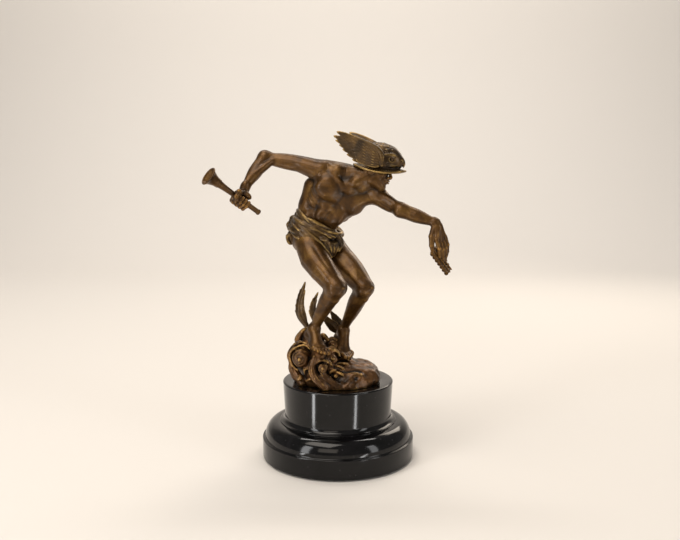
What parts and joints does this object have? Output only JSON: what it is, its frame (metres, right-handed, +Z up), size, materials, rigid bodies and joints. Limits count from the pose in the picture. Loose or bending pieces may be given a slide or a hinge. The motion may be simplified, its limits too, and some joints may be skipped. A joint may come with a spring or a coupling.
{
  "type": "bronze statuette on a marble base",
  "caption": "Cast bronze statuette of a striding winged messenger with a bird's-head helmet, horn and pan pipes, on a round black marble base.",
  "frame": {"origin": "centre of the underside of the felt under the round marble base", "axes": "+Z up out of the marble base; the chest faces -Y; the figure leans and looks towards +X; the horn is held out towards -X"},
  "size_m": [0.2273, 0.15, 0.3202],
  "materials": {
    "patinated_bronze": "cast bronze with a brown waxed patina, rubbed golden on the edges",
    "black_marble": "turned and polished black marble",
    "zinc_steel": "zinc-plated steel",
    "green_felt": "woven wool felt, glued on"
  },
  "bodies": {
    "root": {"felt_pad": "green_felt", "marble_foot": "black_marble", "marble_drum": "black_marble", "threaded_rod": "zinc_steel", "rod_washer": "zinc_steel", "rod_nut": "zinc_steel", "anchor_bar": "zinc_steel", "rock_base": "patinated_bronze", "dowel_pins": "zinc_steel", "right_leg": "patinated_bronze", "left_leg": "patinated_bronze", "torso": "patinated_bronze", "loincloth": "patinated_bronze", "head": "patinated_bronze", "helmet": "patinated_bronze", "helmet_wing_right": "patinated_bronze", "helmet_wing_left": "patinated_bronze", "right_arm": "patinated_bronze", "left_arm": "patinated_bronze", "horn": "patinated_bronze", "pan_pipes": "patinated_bronze", "right_heel_wing_outer": "patinated_bronze", "right_heel_wing_inner": "patinated_bronze", "left_heel_wing_outer": "patinated_bronze", "left_heel_wing_inner": "patinated_bronze"}
  },
  "joints": []
}
